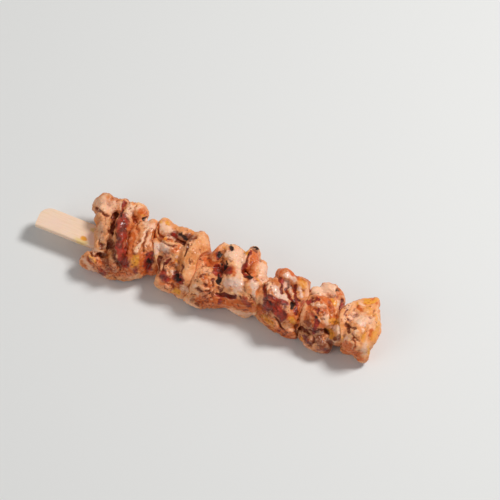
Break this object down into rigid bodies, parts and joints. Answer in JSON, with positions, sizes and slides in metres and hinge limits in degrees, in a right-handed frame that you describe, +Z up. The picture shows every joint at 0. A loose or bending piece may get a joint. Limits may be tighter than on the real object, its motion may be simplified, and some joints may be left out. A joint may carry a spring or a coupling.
{
  "type": "grilled chicken skewer",
  "caption": "Grilled chicken skewer: folded pieces of glazed thigh meat threaded tight on a flat bamboo stick with a wide handle, lying on its side.",
  "frame": {"origin": "middle of the skewer's box in X and Y, on the surface that it lies on", "axes": "+X along the stick from the handle to the last piece, +Z up, +Y towards the far edge of the meat"},
  "size_m": [0.1488, 0.0344, 0.0215],
  "materials": {
    "grilled_chicken": "moist grilled meat with glossy red-brown glaze and char spots",
    "bamboo": "smooth dry bamboo"
  },
  "bodies": {
    "root": {"bamboo_stick": "bamboo", "chicken_1": "grilled_chicken", "chicken_2": "grilled_chicken", "chicken_3": "grilled_chicken", "chicken_4": "grilled_chicken", "chicken_5": "grilled_chicken", "chicken_6": "grilled_chicken"}
  },
  "joints": []
}
